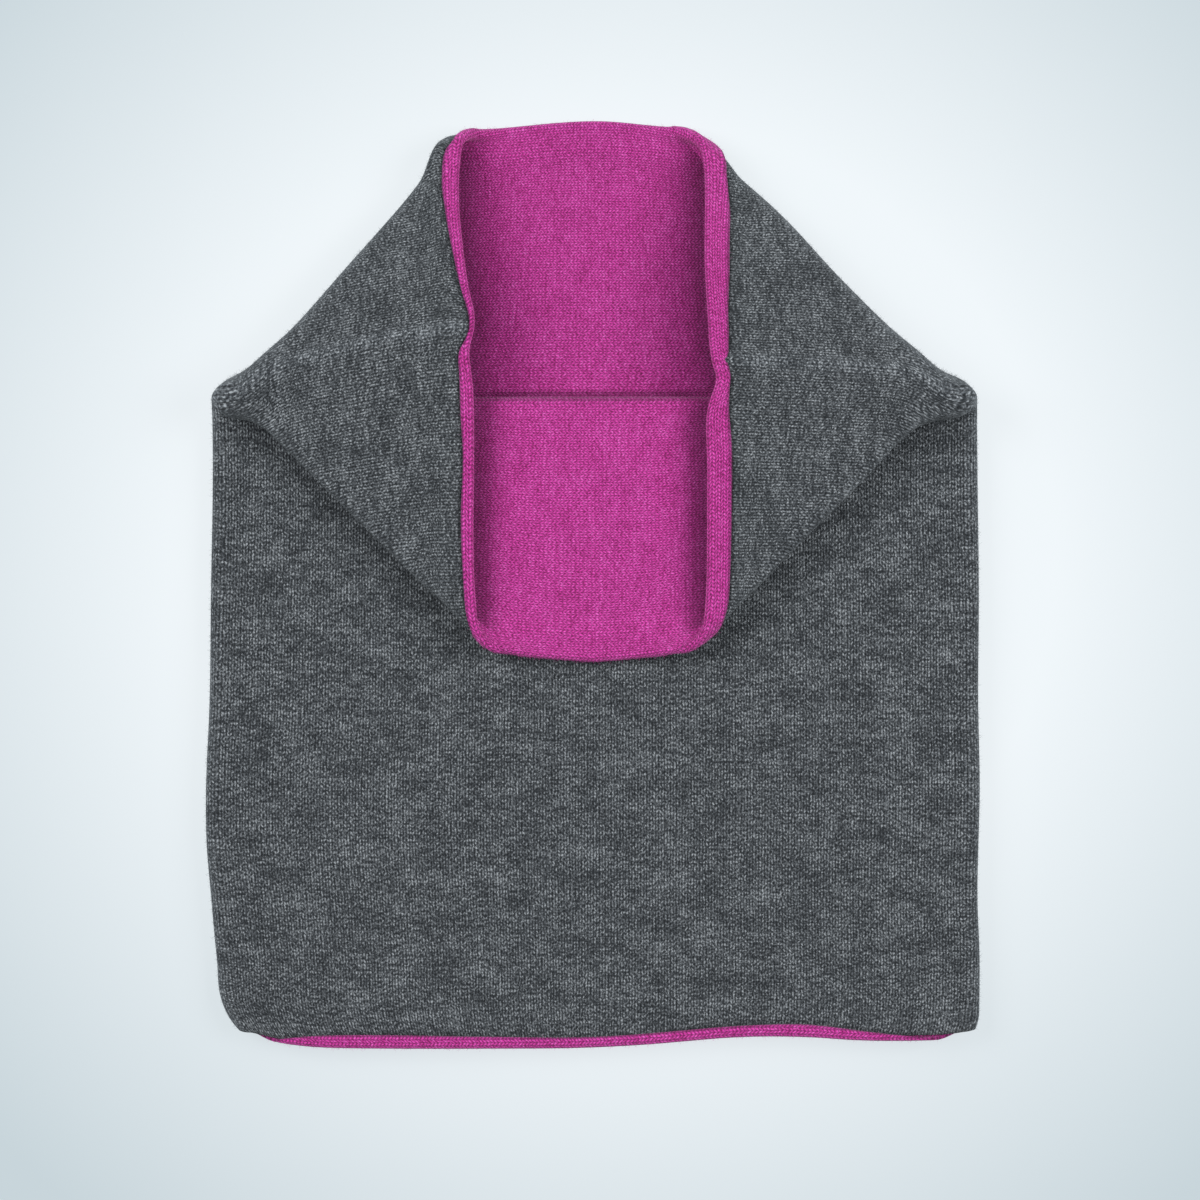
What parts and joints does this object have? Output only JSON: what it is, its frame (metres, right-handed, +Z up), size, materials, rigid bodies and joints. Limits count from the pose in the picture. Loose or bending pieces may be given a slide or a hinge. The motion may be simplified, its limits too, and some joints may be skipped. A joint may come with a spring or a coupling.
{
  "type": "knitted snood",
  "caption": "Tubular knitted neck warmer lying flat, its upper mouth folded open like a paper bag and its contrasting lining turned out over the rims.",
  "frame": {"origin": "middle of the underside of the box around the lying snood, on the surface it rests on", "axes": "+X across the tube, +Y from the hem towards the opened mouth, +Z up from the surface"},
  "size_m": [0.2824, 0.3384, 0.0261],
  "materials": {
    "grey_knit": "matt fine-gauge melange knit",
    "magenta_knit": "matt fine-gauge knit, slightly fuzzy"
  },
  "bodies": {
    "root": {"outer_tube": "grey_knit", "lining_tube": "magenta_knit"}
  },
  "joints": []
}
